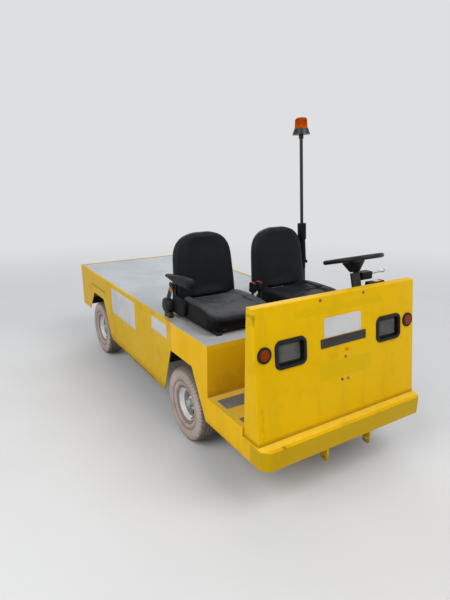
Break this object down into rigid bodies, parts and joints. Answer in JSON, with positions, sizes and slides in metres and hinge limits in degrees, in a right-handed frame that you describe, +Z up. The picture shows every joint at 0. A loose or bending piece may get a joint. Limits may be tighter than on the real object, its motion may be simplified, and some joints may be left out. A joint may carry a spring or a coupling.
{
  "type": "electric utility vehicle",
  "caption": "Two-seat electric burden carrier with a flat steel load deck, leaning cowl, side sills, front wheels steered through a drag link, and a beacon on a mast.",
  "frame": {"origin": "On the ground, at mid-length and mid-width, below the centre of the vehicle's bounding box.", "axes": "+X points forward, the way the vehicle drives; +Y points to the vehicle's left, the driver's side; +Z points up. The wheels turn about Y."},
  "size_m": [2.96, 1.12, 1.9573],
  "materials": {
    "yellow_paint": "gloss, dusty and chipped",
    "grey_deck": "matt, scuffed",
    "floor_grit": "worn, with anti-slip strips",
    "black_steel": "satin, dusty",
    "cast_steel": "rough, greasy",
    "battery_case": "matt",
    "black_plastic": "matt",
    "lamp_glass": "ribbed",
    "signal_lens": "clear coloured",
    "beacon_amber": "clear coloured",
    "tyre_rubber": "dusty",
    "rim_silver": "silver, dusty",
    "seat_vinyl": "worn vinyl",
    "belt_parts": "matt, with orange webbing"
  },
  "bodies": {
    "chassis": {"frame_rails": "black_steel", "cross_members": "black_steel", "deck_frame": "black_steel", "battery_pack": "battery_case", "floor_pan": "floor_grit", "front_bumper": "yellow_paint", "cowl": "yellow_paint", "dash_panel": "black_plastic", "lamp_trims": "black_plastic", "headlamps": "lamp_glass", "signal_lenses": "signal_lens", "seat_deck": "grey_deck", "bed_deck": "grey_deck", "bed_sides": "yellow_paint", "cab_sides": "yellow_paint", "tail_panel": "yellow_paint", "front_axle": "black_steel", "rear_axle": "cast_steel", "leaf_springs": "black_steel", "steering_column": "black_steel", "direction_lever": "black_plastic", "pedals": "black_steel", "seat_frames": "black_steel", "seat_cushion_right": "seat_vinyl", "seat_cushion_left": "seat_vinyl", "seat_back_right": "seat_vinyl", "seat_back_left": "seat_vinyl", "armrest": "seat_vinyl", "belt_hardware": "belt_parts", "beacon_mast": "black_steel", "beacon_lens": "beacon_amber"},
    "drag_link": {"drag_link": "black_steel"},
    "knuckle_left": {"knuckle_left": "cast_steel"},
    "knuckle_right": {"knuckle_right": "cast_steel"},
    "pitman_arm": {"pitman_arm": "cast_steel"},
    "steering_wheel": {"steering_wheel": "black_plastic"},
    "tie_rod": {"tie_rod": "black_steel"},
    "wheel_front_right": {"rim_front_right": "rim_silver", "tyre_front_right": "tyre_rubber"},
    "wheel_front_left": {"rim_front_left": "rim_silver", "tyre_front_left": "tyre_rubber"},
    "wheel_rear_right": {"rim_rear_right": "rim_silver", "tyre_rear_right": "tyre_rubber"},
    "wheel_rear_left": {"rim_rear_left": "rim_silver", "tyre_rear_left": "tyre_rubber"}
  },
  "joints": [
    {"name": "steer_right", "type": "hinge", "parent": "chassis", "child": "knuckle_right", "pos_m": [0.622, -0.38, 0.2335], "axis": [0, 0, 1], "range_deg": [-32, 32]},
    {"name": "steer_left", "type": "hinge", "parent": "chassis", "child": "knuckle_left", "pos_m": [0.622, 0.38, 0.2335], "axis": [0, 0, 1], "range_deg": [-32, 32]},
    {"name": "tie_rod_pivot", "type": "hinge", "parent": "knuckle_right", "child": "tie_rod", "pos_m": [0.502, -0.38, 0.1745], "axis": [0, 0, 1], "range_deg": [-32, 32]},
    {"name": "drag_link_pivot", "type": "hinge", "parent": "knuckle_left", "child": "drag_link", "pos_m": [0.622, 0.24, 0.2925], "axis": [0, 0, 1], "range_deg": [-32, 32]},
    {"name": "pitman_turn", "type": "hinge", "parent": "chassis", "child": "pitman_arm", "pos_m": [1.25, 0.38, 0.3], "axis": [0, 0, 1], "range_deg": [-32, 32]},
    {"name": "steering_wheel_turn", "type": "hinge", "parent": "chassis", "child": "steering_wheel", "pos_m": [1.144, 0.27, 1.15], "axis": [-0.2672, 0, 0.9636], "range_deg": [-640, 640]},
    {"name": "spin_front_right", "type": "hinge", "parent": "knuckle_right", "child": "wheel_front_right", "pos_m": [0.622, -0.476, 0.2335], "axis": [0, 1, 0], "continuous": true},
    {"name": "spin_front_left", "type": "hinge", "parent": "knuckle_left", "child": "wheel_front_left", "pos_m": [0.622, 0.476, 0.2335], "axis": [0, 1, 0], "continuous": true},
    {"name": "spin_rear_right", "type": "hinge", "parent": "chassis", "child": "wheel_rear_right", "pos_m": [-1.022, -0.476, 0.2335], "axis": [0, 1, 0], "continuous": true},
    {"name": "spin_rear_left", "type": "hinge", "parent": "chassis", "child": "wheel_rear_left", "pos_m": [-1.022, 0.476, 0.2335], "axis": [0, 1, 0], "continuous": true}
  ],
  "couplings": [
    {"joint": "steer_left", "follows": "steer_right", "ratio": 1},
    {"joint": "tie_rod_pivot", "follows": "steer_right", "ratio": -1},
    {"joint": "drag_link_pivot", "follows": "steer_right", "ratio": -1},
    {"joint": "pitman_turn", "follows": "steer_right", "ratio": 1},
    {"joint": "steering_wheel_turn", "follows": "steer_right", "ratio": 19.5}
  ]
}
